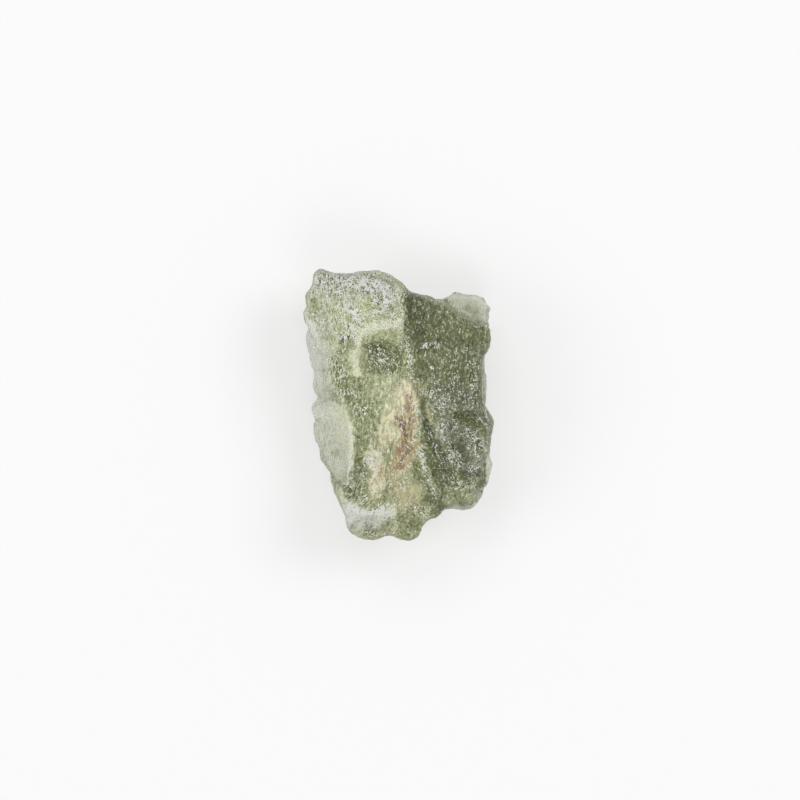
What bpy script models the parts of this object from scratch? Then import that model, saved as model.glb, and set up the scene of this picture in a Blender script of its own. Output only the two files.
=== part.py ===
"""A raw moldavite: one natural chip of green impact glass, sculpted all over by the soil it lay in.

The stone lies on its broad side with its long way along Y. Its upper face has the outline, ledges,
scoops, valley and grooves that a view from above shows. A cube is subdivided into a fine cage and wrapped
onto a pillow: a top sheet, a steep side and a keeled underside. Scars then scoop it out, small pits and
unevenness are added, a fine grid fuses it all, Decimate leaves faces where the form needs them, and a
flat spot is cut to rest on.
Lengths are in millimetres until the mesh is finished, which is then scaled by MM.
"""

import math
import random

import bmesh
import bpy
import numpy as np
from mathutils import Matrix, Vector, noise

MM = 0.001
NAME = "moldavite"
GLASS_GREEN = (0.20, 0.25, 0.11, 1.0)
GLASS_IOR = 1.49

# Driving dimensions of the stone
WIDTH = 11.2
LENGTH = 16.0
HEIGHT = 7.2

# The outline seen from above, clockwise from the peak at the upper left, as x and y from the middle
OUTLINE = [
    (-4.50, 8.00), (-3.79, 7.76), (-2.85, 7.67), (-1.91, 7.82), (-1.09, 7.82), (-0.44, 7.59),
    (0.09, 7.23), (0.62, 6.70), (1.26, 6.53), (1.97, 6.29), (2.44, 6.12), (2.79, 6.41),
    (3.20, 6.70), (4.20, 6.59), (5.03, 6.29), (5.44, 5.64), (5.30, 4.80), (5.44, 4.23),
    (5.38, 3.41), (5.15, 2.94), (5.12, 1.88), (5.15, 0.71), (5.32, -0.24), (5.62, -0.94),
    (5.50, -1.65), (5.38, -2.59), (5.36, -3.12), (5.60, -3.53), (5.44, -4.23), (5.15, -5.00),
    (4.79, -5.64), (4.38, -6.17), (3.62, -6.23), (2.85, -6.35), (2.32, -6.64), (1.79, -6.82),
    (1.44, -7.35), (1.09, -7.94), (0.26, -8.00), (-0.30, -7.72), (-0.62, -7.70), (-1.21, -7.94),
    (-1.91, -8.00), (-2.62, -7.64), (-3.03, -7.06), (-3.15, -6.41), (-3.44, -5.64), (-3.79, -4.76),
    (-4.32, -3.76), (-4.73, -2.82), (-5.03, -1.88), (-5.15, -0.94), (-5.09, 0.24), (-5.15, 1.29),
    (-5.20, 2.47), (-5.38, 3.47), (-5.56, 4.35), (-5.62, 5.23), (-5.56, 5.94), (-5.26, 6.41),
    (-5.09, 7.12), (-4.91, 7.70),
]

# Round the stone by angle from +X, in degrees: how high the widest level and the underside's rim lie
SIDE_LEVELS = [
    (0, 5.0, 2.0), (38, 4.6, 2.0), (44, 2.7, 1.2), (64, 2.7, 1.2), (70, 5.2, 2.0), (90, 5.8, 2.2),
    (120, 5.4, 2.0), (142, 4.6, 1.7), (152, 1.5, 0.9), (180, 1.3, 0.8), (196, 1.5, 0.9),
    (206, 3.0, 1.4), (228, 4.4, 1.7), (262, 5.0, 2.1), (300, 4.6, 2.0), (330, 4.0, 1.8),
]

# The cage, and how the pillow turns over at its rims
CAGE_CUTS = 63
TOP_REACH = 0.97
UNDER_REACH = 0.80
UNDER_SPOT = 0.30
UNDER_CURVE = 1.5
UNDER_TAPER = 1.6

# The top sheet before its features: its level, how it domes, and how it falls towards +X
TOP_LEVEL = 6.95
TOP_DOME = (0.016, 0.007)
TOP_TILT = 0.05

# The step down to the right half: the line it follows, its height, and the width of its face
STEP_LINE = [(0.15, 2.2), (0.20, 3.4), (0.32, 4.8), (0.62, 6.9)]
STEP_DROP = 0.50
STEP_FACE = 0.22
STEP_FADE = (2.4, 3.8)

# The bevel along the upper edge: the ridge that bounds it, and its slope
BEVEL_REGION = [
    (-4.95, 7.75), (-4.30, 7.53), (-3.10, 7.30), (-1.96, 7.40), (-0.80, 7.22), (-0.10, 6.90),
    (0.30, 6.60), (0.90, 8.60), (-5.20, 8.60),
]
BEVEL_SLOPE = 1.5

# Ledges lower than the top: corners, level, rise per mm along X and Y from their first corner, wall width
LEDGES = {
    "left ledge": ([(-5.75, 4.75), (-5.35, 4.20), (-5.00, 3.50), (-4.68, 2.70), (-4.45, 1.60),
                    (-4.35, 0.26), (-4.60, -0.90), (-5.00, -1.60), (-6.60, -1.70), (-6.60, 4.80)],
                   2.25, (0.35, 0.0), 0.90),
    "left facet": ([(-4.10, 0.90), (-3.45, 0.30), (-3.08, -0.70), (-2.90, -2.10), (-2.95, -3.55),
                    (-3.52, -4.60), (-3.80, -5.30), (-6.60, -5.30), (-6.60, 0.90)], 4.75, (1.25, 0.0), 0.45),
    "knob": ([(2.30, 6.25), (2.65, 6.00), (3.08, 5.62), (3.55, 5.28), (4.25, 4.95), (5.10, 4.62),
              (6.60, 4.45), (6.60, 8.00), (2.30, 8.00)], 3.90, (-0.12, -0.05), 0.28),
    "right ledge": ([(4.90, 2.95), (4.88, 1.80), (4.92, 0.60), (5.08, -0.15), (6.60, 0.10),
                     (6.60, 3.10)], 4.95, (-0.4, 0.0), 0.25),
    "loop ledge": ([(4.98, -2.90), (4.80, -3.80), (4.72, -4.60), (4.50, -5.60), (6.60, -5.60),
                    (6.60, -2.90)], 4.30, (-0.3, 0.0), 0.30),
    "lower ledge": ([(2.60, -6.12), (3.40, -6.02), (4.30, -5.85), (4.80, -7.00), (2.60, -7.00)],
                    4.70, (0.0, 0.2), 0.25),
}

# Long forms on the top: the points each follows, its half width at the first and last point, its height
LINES = {
    "clay valley": ([(0.40, 1.05), (0.20, -0.60), (0.05, -2.40), (0.00, -4.20), (0.15, -6.00)],
                    (0.55, 1.35), -0.42),
    "valley's dark groove": ([(0.79, 1.26), (1.26, 0.26), (1.49, -0.91), (1.96, -2.08), (2.72, -2.96)],
                             (0.20, 0.30), -0.38),
    "rib beside the groove": ([(1.30, -2.70), (1.85, -4.40), (2.72, -5.90)], (0.25, 0.35), 0.34),
    "rib right of the valley": ([(1.05, 0.60), (1.20, -0.60), (1.35, -2.00)], (0.22, 0.22), 0.16),
    "arch": ([(-0.15, 4.55), (-1.10, 4.62), (-1.95, 4.30), (-2.40, 3.40), (-2.40, 1.80)],
             (0.30, 0.26), 0.20),
    "facet's rim": ([(-3.20, 0.50), (-2.80, -0.70), (-2.62, -2.10), (-2.68, -3.50), (-3.22, -4.60)],
                    (0.24, 0.24), 0.20),
    "bottom crest": ([(-3.10, -5.60), (-2.35, -6.30), (-1.20, -6.55), (0.40, -6.20)], (0.26, 0.26), 0.26),
    "bottom notch": ([(-0.45, -8.20), (-0.45, -6.90)], (0.30, 0.20), -0.35),
    "right crest": ([(2.30, 0.05), (3.60, -0.10), (5.20, -0.30)], (0.30, 0.26), 0.24),
}

# Round forms on the top: centre, half length along X and Y, height
MOUNDS = {
    "clay lump": ((-1.15, -4.20), (0.65, 1.40), 0.42),
    "left crown": ((-2.60, 5.40), (1.60, 1.30), 0.22),
    "bottom left pad": ((-2.05, -6.90), (0.90, 0.60), 0.18),
    "dark pit": ((3.90, -0.85), (0.55, 0.30), -0.32),
    "second dark pit": ((3.50, -2.35), (0.50, 0.38), -0.30),
    "pit above the valley": ((0.25, 2.00), (0.40, 0.50), -0.22),
    "pit in the middle left": ((-2.25, 1.00), (0.35, 0.40), -0.24),
    "dip beside the facet": ((-2.20, -3.60), (0.50, 1.30), -0.20),
}

# Scars: where each one is centred, the azimuth and elevation it was struck from, its half length, half
# width and depth, and how far its length is turned from level
SCARS = {
    "hollow under the arch": ((-0.95, 3.10, 7.1), (250, 84), (1.15, 1.15, 0.42), 0),
    "upper left face": ((-3.30, 5.60, 7.3), (140, 76), (1.60, 1.30, 0.30), 20),
    "upper middle face": ((-0.90, 5.80, 7.3), (80, 82), (1.00, 0.95, 0.26), 0),
    "upper right face": ((2.10, 4.90, 6.6), (60, 78), (1.70, 1.25, 0.34), 35),
    "streaked face": ((3.60, 1.90, 6.6), (0, 80), (1.75, 1.40, 0.42), 0),
    "middle right face": ((1.60, 2.20, 6.8), (330, 84), (1.25, 0.80, 0.30), 10),
    "right lobe": ((3.65, -3.10, 6.3), (340, 76), (2.60, 1.75, 0.85), 12),
    "right lobe's end": ((3.30, -5.20, 6.2), (290, 70), (1.30, 0.95, 0.40), 80),
    "middle left face": ((-2.60, 0.60, 7.1), (190, 80), (1.60, 0.95, 0.30), 0),
    "centre face": ((-1.05, -0.10, 7.1), (120, 86), (1.30, 0.90, 0.22), 10),
    "bottom face": ((-1.60, -7.30, 6.3), (265, 55), (1.30, 0.70, 0.40), 0),
    "bottom right face": ((0.90, -7.10, 6.3), (290, 55), (1.00, 0.70, 0.38), 0),
    "left facet's hollow": ((-4.00, -2.10, 5.2), (185, 42), (2.20, 1.25, 0.50), 0),
    "left wall, upper": ((-5.30, 5.10, 4.2), (175, 8), (1.50, 1.40, 0.50), 0),
    "left wall": ((-4.45, 1.90, 4.6), (180, 22), (1.70, 1.30, 0.45), 0),
    "left foot": ((-4.60, -2.60, 2.0), (200, -28), (2.40, 1.30, 0.70), 8),
    "lower left side": ((-3.60, -5.60, 3.2), (212, -10), (1.80, 1.50, 0.60), -20),
    "bottom side": ((-1.20, -7.80, 3.4), (268, -12), (1.80, 1.50, 0.70), 0),
    "bottom right side": ((2.20, -6.80, 3.2), (300, -14), (1.90, 1.60, 0.70), 10),
    "lower right side": ((5.00, -4.40, 2.6), (338, -16), (2.00, 1.40, 0.60), 0),
    "right side": ((5.30, -0.60, 3.2), (2, -12), (2.10, 1.40, 0.60), -12),
    "upper right side": ((5.20, 3.00, 3.0), (12, -12), (1.90, 1.50, 0.60), 18),
    "under the knob": ((4.00, 5.30, 1.2), (52, -50), (1.40, 0.90, 0.30), 0),
    "knob's neck": ((2.20, 6.50, 3.6), (80, 4), (0.70, 1.40, 0.35), 0),
    "top side": ((0.00, 7.30, 3.6), (86, -8), (1.90, 1.50, 0.65), 0),
    "top left side": ((-3.20, 7.70, 3.2), (100, -14), (1.90, 1.60, 0.65), 12),
    "underside, upper left": ((-2.60, 4.60, 0.9), (120, -68), (2.60, 1.80, 0.70), 30),
    "underside, upper right": ((2.60, 4.00, 0.9), (55, -70), (2.20, 1.70, 0.65), -20),
    "underside, lower left": ((-2.40, -4.60, 1.0), (240, -66), (2.40, 1.60, 0.65), -30),
    "underside, lower right": ((2.60, -4.20, 1.0), (310, -68), (2.30, 1.70, 0.70), 25),
    "underside, right": ((4.00, 0.20, 1.3), (0, -62), (1.90, 1.10, 0.50), 0),
    "underside, left": ((-3.80, 0.60, 0.7), (180, -72), (1.70, 1.00, 0.40), 0),
}
SCAR_ROUNDNESS = 2.0
SCAR_WANDER = 0.22

# Small pits spread over the whole stone, shallower on the top, where the forms are placed by hand
PIT_SEED = 11
PIT_COUNT = 150
PIT_HALF_WIDTH = (0.40, 0.95)
PIT_DEPTH = (0.08, 0.20)
PIT_STRETCH = (1.0, 1.7)
PIT_TOP_SHARE = 0.35
TOP_FACING = 0.75

# Unevenness along the normals: the size of its swells and their height
SWELLS = [(2.2, 0.10), (1.0, 0.07), (0.5, 0.035)]

# The fine grid that fuses the forms, how often it is smoothed, and how many triangles are kept
GRID = 0.14
SMOOTHING = 2
TRIANGLES = 9300

# The flat spot that it rests on
FLAT_CUT = 0.30


def ease(value):
    """A smooth step from 0 to 1 as the value goes from 0 to 1."""
    value = np.clip(value, 0.0, 1.0)
    return value * value * (3.0 - 2.0 * value)


def nearest_on_line(x, y, points):
    """How far each place is from a line through the points, and how far along the line, from 0 to 1."""
    best = np.full(x.shape, np.inf)
    along = np.zeros(x.shape)
    pairs = len(points) - 1
    for index in range(pairs):
        (ax, ay), (bx, by) = points[index], points[index + 1]
        run = (bx - ax) ** 2 + (by - ay) ** 2
        part = np.clip(((x - ax) * (bx - ax) + (y - ay) * (by - ay)) / run, 0.0, 1.0)
        distance = np.hypot(x - ax - part * (bx - ax), y - ay - part * (by - ay))
        along = np.where(distance < best, (index + part) / pairs, along)
        best = np.minimum(best, distance)
    return best, along


def inside_distance(x, y, corners):
    """How deep each place lies inside a region, negative outside it."""
    distance, _ = nearest_on_line(x, y, corners + corners[:1])
    inside = np.zeros(x.shape, dtype=bool)
    for (ax, ay), (bx, by) in zip(corners, corners[1:] + corners[:1]):
        if ay == by:
            continue
        crossing = ax + (y - ay) * (bx - ax) / (by - ay)
        inside ^= ((ay > y) != (by > y)) & (x < crossing)
    return np.where(inside, distance, -distance)


def by_angle(angle, stations):
    """Values given at angles round the stone, read off at other angles."""
    angles = np.array([station[0] for station in stations])
    values = np.array([station[1] for station in stations])
    order = np.argsort(angles)
    return np.interp(angle, angles[order], values[order], period=2.0 * math.pi)


def top_height(x, y):
    """The height of the upper face over each place, with its step, bevel, ledges and long and round forms."""
    height = TOP_LEVEL - TOP_DOME[0] * x ** 2 - TOP_DOME[1] * y ** 2 - TOP_TILT * x
    step_x = np.interp(y, [point[1] for point in STEP_LINE], [point[0] for point in STEP_LINE])
    fade = ease((y - STEP_FADE[0]) / (STEP_FADE[1] - STEP_FADE[0]))
    height -= STEP_DROP * fade * ease((x - step_x) / STEP_FACE)
    for points, (first, last), rise in LINES.values():
        distance, along = nearest_on_line(x, y, points)
        half_width = first + (last - first) * along
        height += rise * np.exp(-(distance / half_width) ** 2)
    for (cx, cy), (rx, ry), rise in MOUNDS.values():
        height += rise * np.exp(-((x - cx) / rx) ** 2 - ((y - cy) / ry) ** 2)
    height -= BEVEL_SLOPE * np.maximum(inside_distance(x, y, BEVEL_REGION), 0.0)
    for corners, level, (rise_x, rise_y), wall in LEDGES.values():
        ledge = level + rise_x * (x - corners[0][0]) + rise_y * (y - corners[0][1])
        drop = ease(inside_distance(x, y, corners) / wall + 0.5)
        height += np.minimum(ledge - height, 0.0) * drop
    return height


def wrap_onto_pillow(cage):
    """Carry the points of a cube with corners at 1 and -1 onto the stone's body."""
    a, b, c = cage.T
    share = np.maximum(np.abs(a), np.abs(b))
    angle = np.arctan2(b * LENGTH, a * WIDTH)
    reach = by_angle(angle, [(math.atan2(y, x), math.hypot(x, y)) for x, y in OUTLINE])
    widest = by_angle(angle, [(math.radians(turn), level) for turn, level, _ in SIDE_LEVELS])
    rim = by_angle(angle, [(math.radians(turn), level) for turn, _, level in SIDE_LEVELS])
    across, up = np.cos(angle), np.sin(angle)

    on_top = c >= 1.0
    under = c <= -1.0
    edge_height = top_height(TOP_REACH * reach * across, TOP_REACH * reach * up)
    widest = np.minimum(widest, edge_height - 0.3)
    z = edge_height + (rim - edge_height) * (1.0 - c) / 2.0
    above = np.clip((z - widest) / (edge_height - widest), 0.0, 1.0)
    below = np.clip((widest - z) / (widest - rim), 0.0, 1.0)
    side = 1.0 - (1.0 - TOP_REACH) * above ** 2 - (1.0 - UNDER_REACH) * below ** UNDER_TAPER

    scale = np.where(on_top, TOP_REACH * share, np.where(under, UNDER_REACH * share, side))
    x = scale * reach * across
    y = scale * reach * up
    turned_up = np.clip((share - UNDER_SPOT) / (1.0 - UNDER_SPOT), 0.0, 1.0)
    z = np.where(on_top, top_height(x, y), np.where(under, rim * turned_up ** UNDER_CURVE, z))
    return np.column_stack([x, y, z])


def scar_axes(azimuth, elevation, turn):
    """The directions along, across and out of a scar, as rows."""
    azimuth, elevation, turn = (math.radians(value) for value in (azimuth, elevation, turn))
    out = np.array([math.cos(elevation) * math.cos(azimuth), math.cos(elevation) * math.sin(azimuth),
                    math.sin(elevation)])
    level = np.array([-math.sin(azimuth), math.cos(azimuth), 0.0])
    steep = np.cross(out, level)
    along = math.cos(turn) * level + math.sin(turn) * steep
    return np.array([along, np.cross(out, along), out])


def scoop(points, centre, axes, size):
    """Press the points that a scar's ellipsoid covers down onto its far wall."""
    half_length, half_width, depth = size
    reach = SCAR_ROUNDNESS * depth
    spread = math.sqrt(1.0 - ((reach - depth) / reach) ** 2)
    along, across, out = axes @ (points - np.array(centre)).T
    wander = SCAR_WANDER * np.sin(3.1 * points[:, 0] + 1.7 * points[:, 1] + 2.3 * points[:, 2])
    along = along + wander
    across = across + wander
    inside = 1.0 - (along * spread / half_length) ** 2 - (across * spread / half_width) ** 2
    wall = reach - depth - reach * np.sqrt(np.maximum(inside, 0.0))
    pressed = (inside > 0.0) & (out > wall) & (out < 3.0 * reach)
    points[pressed] += np.outer(wall[pressed] - out[pressed], axes[2])


def add_pits(points, normals):
    """Scoop small pits at random places, each square to the surface there."""
    draw = random.Random(PIT_SEED)
    for _ in range(PIT_COUNT):
        index = draw.randrange(len(points))
        half_width = draw.uniform(*PIT_HALF_WIDTH)
        depth = draw.uniform(*PIT_DEPTH)
        half_length = half_width * draw.uniform(*PIT_STRETCH)
        turn = draw.uniform(0.0, 180.0)
        out = normals[index]
        if out[2] > TOP_FACING:
            depth *= PIT_TOP_SHARE
        azimuth = math.degrees(math.atan2(out[1], out[0]))
        elevation = math.degrees(math.asin(max(-1.0, min(1.0, out[2]))))
        scoop(points, points[index].copy(), scar_axes(azimuth, elevation, turn), (half_length, half_width, depth))


def points_and_normals(form):
    """The places and normals of a bmesh's points, as rows."""
    form.normal_update()
    places = np.array([point.co[:] for point in form.verts])
    normals = np.array([point.normal[:] for point in form.verts])
    return places, normals


def place_points(form, places):
    """Move a bmesh's points to the places given."""
    for point, place in zip(form.verts, places):
        point.co = place


def shape_stone():
    """The fine cage, wrapped onto the body, scooped, pitted and made uneven."""
    form = bmesh.new()
    bmesh.ops.create_cube(form, size=2.0)
    bmesh.ops.subdivide_edges(form, edges=form.edges[:], cuts=CAGE_CUTS, use_grid_fill=True)
    places, _ = points_and_normals(form)
    places = wrap_onto_pillow(np.round(places, 6))
    for centre, (azimuth, elevation), size, turn in SCARS.values():
        scoop(places, centre, scar_axes(azimuth, elevation, turn), size)
    place_points(form, places)
    places, normals = points_and_normals(form)
    add_pits(places, normals)
    for size, rise in SWELLS:
        lift = [rise * noise.noise(Vector(place) / size) for place in places]
        places += normals * np.array(lift)[:, None]
    place_points(form, places)
    return form


def cut_flat_spot(form):
    """Cut the underside off level, and close the cut with one flat face."""
    lowest = min(point.co.z for point in form.verts)
    level = (0.0, 0.0, lowest + FLAT_CUT)
    everything = form.verts[:] + form.edges[:] + form.faces[:]
    bmesh.ops.bisect_plane(form, geom=everything, dist=0.0001, plane_co=level, plane_no=(0, 0, 1), clear_inner=True)
    open_edges = [edge for edge in form.edges if edge.is_boundary]
    bmesh.ops.edgeloop_fill(form, edges=open_edges)


def fit_to_size(form):
    """Bring the stone to its driving dimensions, centred over the origin with its flat spot at z = 0."""
    low = Vector([min(point.co[axis] for point in form.verts) for axis in range(3)])
    high = Vector([max(point.co[axis] for point in form.verts) for axis in range(3)])
    middle = (low + high) / 2.0
    middle.z = low.z
    size = high - low
    fit = Matrix.Diagonal((WIDTH / size.x, LENGTH / size.y, HEIGHT / size.z, 1.0)) @ Matrix.Translation(-middle)
    bmesh.ops.transform(form, matrix=Matrix.Scale(MM, 4) @ fit, verts=form.verts[:])


def glass():
    """The stone's green glass."""
    material = bpy.data.materials.new("moldavite glass")
    material.use_nodes = True
    shader = material.node_tree.nodes["Principled BSDF"]
    shader.inputs["Base Color"].default_value = GLASS_GREEN
    shader.inputs["Metallic"].default_value = 0.0
    shader.inputs["Roughness"].default_value = 0.45
    shader.inputs["IOR"].default_value = GLASS_IOR
    material.diffuse_color = GLASS_GREEN
    return material


def clear_scene():
    """Remove the objects that a new scene starts with."""
    for old in list(bpy.data.objects):
        bpy.data.objects.remove(old, do_unlink=True)


def apply_modifiers(stone):
    """Make what the modifiers give the stone's own mesh."""
    before = stone.data
    view = bpy.context.evaluated_depsgraph_get()
    stone.data = bpy.data.meshes.new_from_object(stone.evaluated_get(view))
    stone.modifiers.clear()
    bpy.data.meshes.remove(before)


def fuse(stone):
    """Fuse the forms on a fine grid, and soften the marks that it leaves."""
    remesh = stone.modifiers.new("Fuse", "REMESH")
    remesh.mode = "VOXEL"
    remesh.voxel_size = GRID
    smooth = stone.modifiers.new("Soften", "SMOOTH")
    smooth.factor = 0.5
    smooth.iterations = SMOOTHING
    apply_modifiers(stone)


def thin_out(stone):
    """Keep only as many faces as the driving count, where the form needs them."""
    count = sum(len(face.vertices) - 2 for face in stone.data.polygons)
    decimate = stone.modifiers.new("Thin out", "DECIMATE")
    decimate.ratio = TRIANGLES / count
    apply_modifiers(stone)


def main():
    clear_scene()
    shelf = bpy.data.collections.new("Raw moldavite")
    bpy.context.scene.collection.children.link(shelf)
    form = shape_stone()
    mesh = bpy.data.meshes.new(NAME)
    form.to_mesh(mesh)
    form.free()
    stone = bpy.data.objects.new(NAME, mesh)
    shelf.objects.link(stone)
    fuse(stone)
    thin_out(stone)

    form = bmesh.new()
    form.from_mesh(stone.data)
    cut_flat_spot(form)
    fit_to_size(form)
    bmesh.ops.triangulate(form, faces=form.faces[:])
    form.to_mesh(stone.data)
    form.free()
    stone.data.name = NAME
    stone.data.materials.clear()
    stone.data.materials.append(glass())


main()
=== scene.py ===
import math

import bmesh
import bpy
import numpy as np
from mathutils import Matrix, Vector, noise


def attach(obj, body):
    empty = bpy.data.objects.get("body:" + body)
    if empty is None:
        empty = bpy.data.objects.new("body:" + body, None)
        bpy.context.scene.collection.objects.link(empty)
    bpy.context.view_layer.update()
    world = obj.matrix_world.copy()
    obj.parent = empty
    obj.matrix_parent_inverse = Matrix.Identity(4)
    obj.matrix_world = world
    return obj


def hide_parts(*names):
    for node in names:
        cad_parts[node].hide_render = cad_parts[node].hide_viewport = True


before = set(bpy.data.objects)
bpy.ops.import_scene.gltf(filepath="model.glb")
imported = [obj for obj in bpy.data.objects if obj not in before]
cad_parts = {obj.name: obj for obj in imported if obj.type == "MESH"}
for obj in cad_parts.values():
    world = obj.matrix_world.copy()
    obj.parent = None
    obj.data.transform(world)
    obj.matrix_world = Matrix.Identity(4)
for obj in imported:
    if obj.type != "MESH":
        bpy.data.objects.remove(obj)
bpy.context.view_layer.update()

# Lengths are in millimetres unless a comment says otherwise, and MM carries them to metres
MM = 0.001
STONE_NODE = "moldavite"

# The photograph: its side in pixels, how many mm a pixel covers, and the pixel over the stone's middle
PICTURE_SIDE = 800
MM_PER_PIXEL = 0.0586
MIDDLE_PIXEL = (398.5, 404.5)

# The camera looks straight down from here; the top of the stone is the level that the pixels are measured at
CAMERA_HEIGHT = 300.0
TOP_LEVEL = 6.8
SENSOR = 36.0

# The nearest that the camera sees, in metres
CLIP_START = 0.01

# How near the CAD form's loose corners count as one, in metres
JOIN_DISTANCE = 1e-7

# The even grid that the glass is remade on, and how often and how far it is smoothed
GRID = 0.088
SOFTENING = 2
SOFTEN_SHARE = 0.5

# Where the CAD form's outline is eased out or in to the photograph's: a pixel, the move right and down, and
# its reach, all in pixels
OUTLINE_MOVES = {
    "left hollow": ((318, 412), (-9, 0), 17),
    "left bulge": ((314, 452), (4, -1), 16),
    "upper left corner": ((309, 295), (-5, 0), 14),
    "knob's right end": ((485, 307), (5, 0), 22),
    "knob's upper corner": ((479, 296), (3, -2), 12),
    "knob's lower corner": ((482, 319), (6, 1), 12),
}

# The etched relief: how large each kind of mark is, and how deep
RELIEF = {
    "Scallop size": 1.20,
    "Scallop depth": 0.10,
    "Cup size": 0.46,
    "Cup depth": 0.055,
    "Stroke length": 0.80,
    "Stroke width": 0.19,
    "Stroke depth": 0.060,
    "Grain size": 0.18,
    "Grain depth": 0.028,
    "Seed": 3.0,
}

# How far one more in the seed moves the patterns
SEED_STEP = (1.0, 0.7, 0.4)

# The bending of scallops, cups and strokes: how many bends a mm, their detail and how far they reach
WARP_SCALE = 0.9
WARP_DETAIL = 3.0
WARP_REACH = 1.4

# A cup's middle level over its floor as a share of its depth, and how softly cups and scallops meet
CUP_MIDDLE = 0.22
CUP_SOFTNESS = 0.15
SCALLOP_SOFTNESS = 0.2

# The detail of the strokes and of the grain
STROKE_DETAIL = 2.0
GRAIN_DETAIL = 1.0

# Noise lies about a quarter either side of its middle, so this many times that is a full swing
NOISE_MIDDLE = 0.5
FULL_SWING = 4.0

# The share of the scallops that roughness brings and the share that smooth glass keeps
SCALLOP_SHARES = (0.7, 0.3)

# The relief sets in between these heights over the ground, so that the spot it rests on stays flat
RELIEF_HEIGHTS = (0.02, 0.5)

# How crests and hollows are told: over how many neighbours away the form is evened out, and how far in mm a
# point then stands out of it where it counts as a full crest
CRESTS = {"crest": (2, 0.012), "ridge": (18, 0.060)}

# The way the etched strokes run: a place in the photograph's pixels and an angle, in degrees left of upright
FLOWS = [
    (320, 300, -10), (350, 285, 0), (380, 300, 10), (330, 350, 5), (350, 340, 0),
    (370, 335, 60), (385, 325, 75), (400, 330, 90), (358, 365, 5), (382, 355, 35),
    (400, 320, 0), (405, 360, 0), (430, 310, 0), (450, 330, -5), (470, 350, 0),
    (455, 375, 0), (475, 395, 5), (430, 390, 15), (440, 420, 40), (425, 440, 45),
    (435, 460, 45), (450, 480, 50), (430, 490, 30), (465, 440, 60), (480, 460, -20),
    (470, 485, -45), (455, 425, 75), (400, 420, 0), (385, 430, -15), (400, 460, 0),
    (378, 480, -20), (350, 470, -5), (340, 430, 0), (350, 400, 0), (355, 510, -50),
    (370, 522, -65), (400, 510, 20), (410, 528, 30), (370, 400, 10), (330, 395, 0),
]

# How far a place's angle reaches, in pixels, and the least weight that it has anywhere
FLOW_REACH = 14.0
FLOW_LEAST = 1e-6

# The four ways, in degrees, that any way of running is mixed from
WAYS = (0.0, 45.0, 90.0, 135.0)

# The finest marks of the etching, in marks a mm: specks, and streaks across, along and down. The clay's own
# streaks are coarser. All have this detail, and all noise in the glass has this roughness
SPECKS = 14.0
STREAKS = (12.0, 4.0, 5.0)
CLAY_STREAKS = (4.5, 1.6, 2.0)
FINE_DETAIL = 1.0
NOISE_ROUGHNESS = 0.6

# How much specks and streaks each bring to the fine marks, and the middle of their sum
SPECK_SHARE = 1.15
STREAK_SHARE = 0.95
FINE_MIDDLE = 1.05

# The broad patches and the smaller mottle: how many a mm, and their detail
PATCHES = (2.2, 2.0)
MOTTLE = (4.5, 1.0)

# Areas and lines of the upper face that several kinds of mark share or that have many points, in the
# photograph's pixels
LEFT_HALF = [(290, 250), (402, 250), (404, 380), (352, 400), (362, 560), (290, 560)]
RIGHT_HALF = [(405, 250), (520, 250), (520, 560), (440, 560), (412, 400)]
CROWN = [(300, 262), (398, 270), (402, 326), (356, 334), (340, 350), (300, 330)]
HOLLOW = [(365, 344), (384, 339), (402, 346), (404, 370), (384, 376), (368, 374)]
FACET = [(308, 412), (326, 402), (342, 406), (352, 430), (354, 452), (351, 470), (342, 486)]
KNOB = [(445, 296), (468, 287), (494, 298), (492, 326), (468, 318)]
UPPER_BEVEL = [(316, 270), (345, 276), (372, 275), (392, 286)]
UPPER_RIM = [(306, 277), (318, 269), (345, 274), (372, 271), (392, 281), (400, 290)]
ARCH = [(397, 323), (382, 326), (367, 328), (358, 337), (355, 352), (357, 374)]
RIM_BEFORE_KNOB = [(408, 291), (425, 296), (445, 303), (466, 315), (488, 326)]
PATCH = [(362, 300), (367, 318)]
LEFT_BAND = [(325, 352), (326, 420)]
RIGHT_LEDGE = [(487, 356), (487, 404)]
PIT = [(456, 416), (474, 418)]
RIGHT_GREY = [(446, 392), (470, 400), (482, 412)]
RIGHT_LEDGES = [(487, 356), (486, 404), (491, 440), (490, 480), (474, 508), (450, 510)]

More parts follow.
